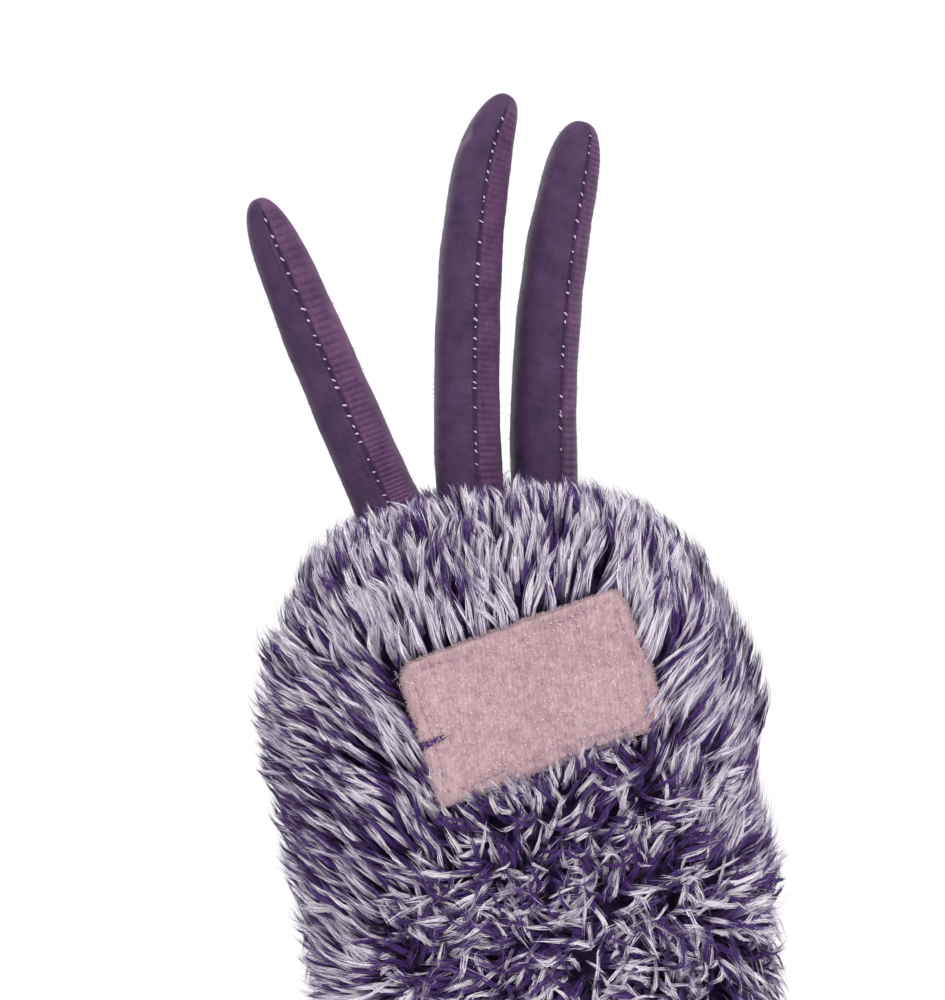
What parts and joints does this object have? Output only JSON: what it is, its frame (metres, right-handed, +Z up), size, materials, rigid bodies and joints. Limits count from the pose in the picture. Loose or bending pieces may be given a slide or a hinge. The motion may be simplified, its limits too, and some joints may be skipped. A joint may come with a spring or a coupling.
{
  "type": "moving mouth puppet",
  "caption": "Shaggy violet hand puppet with a moving mouth, stuffed hair tubes on the crown and a loop patch on the back of the head.",
  "frame": {"origin": "centre of the hand opening, at the height of the cuff's lower edge", "axes": "+Z up the sleeve to the crown, -Y the way the face and mouth look, +X the puppet's left"},
  "size_m": [0.122, 0.1327, 0.4054],
  "materials": {
    "violet_fur": "matte",
    "plum_knit": "satin",
    "loop_fabric": "matte",
    "lining": "satin",
    "binding": "matte",
    "label_satin": "satin",
    "filling": "matte",
    "board": "matte",
    "mouth_fabric": "matte",
    "tongue_fabric": "matte",
    "eye_white": "gloss",
    "iris": "gloss",
    "pupil": "gloss",
    "washer": "satin"
  },
  "bodies": {
    "sleeve": {"sleeve_back_fur": "violet_fur", "sleeve_front_fur": "violet_fur", "sleeve_lining": "lining", "cuff_binding": "binding", "sewn_label": "label_satin", "neck_fur": "violet_fur"},
    "head": {"head_back_fur": "violet_fur", "head_front_fur": "violet_fur", "throat_fur": "violet_fur", "head_lining": "lining", "head_stuffing": "filling", "finger_pocket": "lining", "upper_mouth_board": "board", "upper_mouth_lining": "mouth_fabric", "mouth_fold_tape": "mouth_fabric", "loop_patch": "loop_fabric", "eye_left": "eye_white", "eye_right": "eye_white", "iris_left": "iris", "iris_right": "iris", "pupil_left": "pupil", "pupil_right": "pupil", "eyelid_left": "plum_knit", "eyelid_right": "plum_knit", "eye_washer_left": "washer", "eye_washer_right": "washer"},
    "jaw": {"jaw_fur": "violet_fur", "jaw_foam": "filling", "thumb_pocket": "lining", "lower_mouth_board": "board", "lower_mouth_lining": "mouth_fabric"},
    "tongue": {"tongue": "tongue_fabric"},
    "hair_left": {"hair_left_skin": "plum_knit", "hair_left_filling": "filling"},
    "hair_middle": {"hair_middle_skin": "plum_knit", "hair_middle_filling": "filling"},
    "hair_right": {"hair_right_skin": "plum_knit", "hair_right_filling": "filling"}
  },
  "joints": [
    {"name": "neck_bend", "type": "hinge", "parent": "sleeve", "child": "head", "pos_m": [0, -0.0035, 0.145], "axis": [1, 0, 0], "range_deg": [-25, 25], "deforming": ["neck_fur"]},
    {"name": "mouth_open", "type": "hinge", "parent": "head", "child": "jaw", "pos_m": [0, -0.0065, 0.224], "axis": [1, 0, 0], "range_deg": [-14, 26], "deforming": ["throat_fur"]},
    {"name": "tongue_lift", "type": "hinge", "parent": "jaw", "child": "tongue", "pos_m": [0, -0.01886, 0.21998], "axis": [-1, 0, 0], "range_deg": [0, 12]},
    {"name": "hair_left_flop", "type": "hinge", "parent": "head", "child": "hair_left", "pos_m": [0.026, -0.005, 0.2945], "axis": [1, 0, 0], "range_deg": [-35, 35], "stiffness_Nm_per_rad": 0.05},
    {"name": "hair_middle_flop", "type": "hinge", "parent": "head", "child": "hair_middle", "pos_m": [0.0072, 0, 0.298], "axis": [1, 0, 0], "range_deg": [-35, 35], "stiffness_Nm_per_rad": 0.05},
    {"name": "hair_right_flop", "type": "hinge", "parent": "head", "child": "hair_right", "pos_m": [-0.0122, -0.009, 0.298], "axis": [1, 0, 0], "range_deg": [-35, 35], "stiffness_Nm_per_rad": 0.05}
  ]
}
